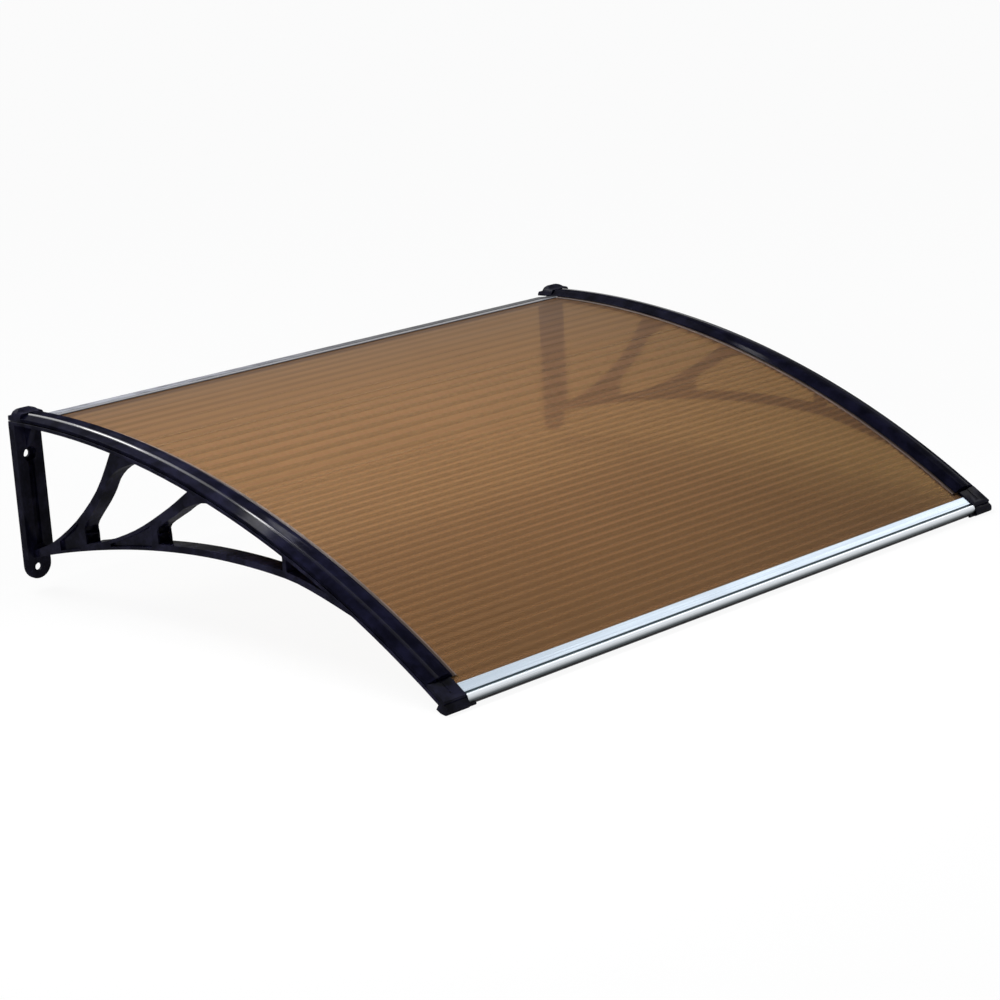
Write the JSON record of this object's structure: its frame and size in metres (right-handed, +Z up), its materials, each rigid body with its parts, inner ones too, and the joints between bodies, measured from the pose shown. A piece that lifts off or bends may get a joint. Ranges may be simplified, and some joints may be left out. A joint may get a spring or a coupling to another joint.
{
  "type": "polycarbonate door canopy",
  "caption": "Wall-mounted door canopy with a bronze twin-wall sheet curved over black moulded brackets, aluminium front and rear rails, cover strips and end caps.",
  "frame": {"origin": "middle of the rear rail on the wall plane, on the rail's flat back face", "axes": "+X along the width to the right of someone facing the wall, +Y into the wall, +Z up"},
  "size_m": [1, 0.8041, 0.2432],
  "materials": {
    "bronze_sheet": "bronze-tinted see-through twin-wall polycarbonate, glossy",
    "black_plastic": "semi-gloss moulded black ABS",
    "aluminium": "satin anodised extrusion",
    "black_rubber": "matt black rubber",
    "soft_vinyl": "milky soft vinyl lip",
    "zinc_steel": "zinc-plated"
  },
  "bodies": {
    "root": {"sheet": "bronze_sheet", "front_rail": "aluminium", "drip_strip": "black_rubber", "rear_rail": "aluminium", "wall_strip": "black_rubber", "bracket_left": "black_plastic", "cover_left": "black_plastic", "seal_left": "soft_vinyl", "front_cap_left": "black_plastic", "rear_cap_left": "black_plastic", "screw_left_rear_cap": "zinc_steel", "screw_left_cover_1": "zinc_steel", "screw_left_cover_2": "zinc_steel", "screw_left_cover_3": "zinc_steel", "screw_left_cover_4": "zinc_steel", "screw_left_front_cap": "zinc_steel", "bracket_right": "black_plastic", "cover_right": "black_plastic", "seal_right": "soft_vinyl", "front_cap_right": "black_plastic", "rear_cap_right": "black_plastic", "screw_right_rear_cap": "zinc_steel", "screw_right_cover_1": "zinc_steel", "screw_right_cover_2": "zinc_steel", "screw_right_cover_3": "zinc_steel", "screw_right_cover_4": "zinc_steel", "screw_right_front_cap": "zinc_steel"}
  },
  "joints": []
}
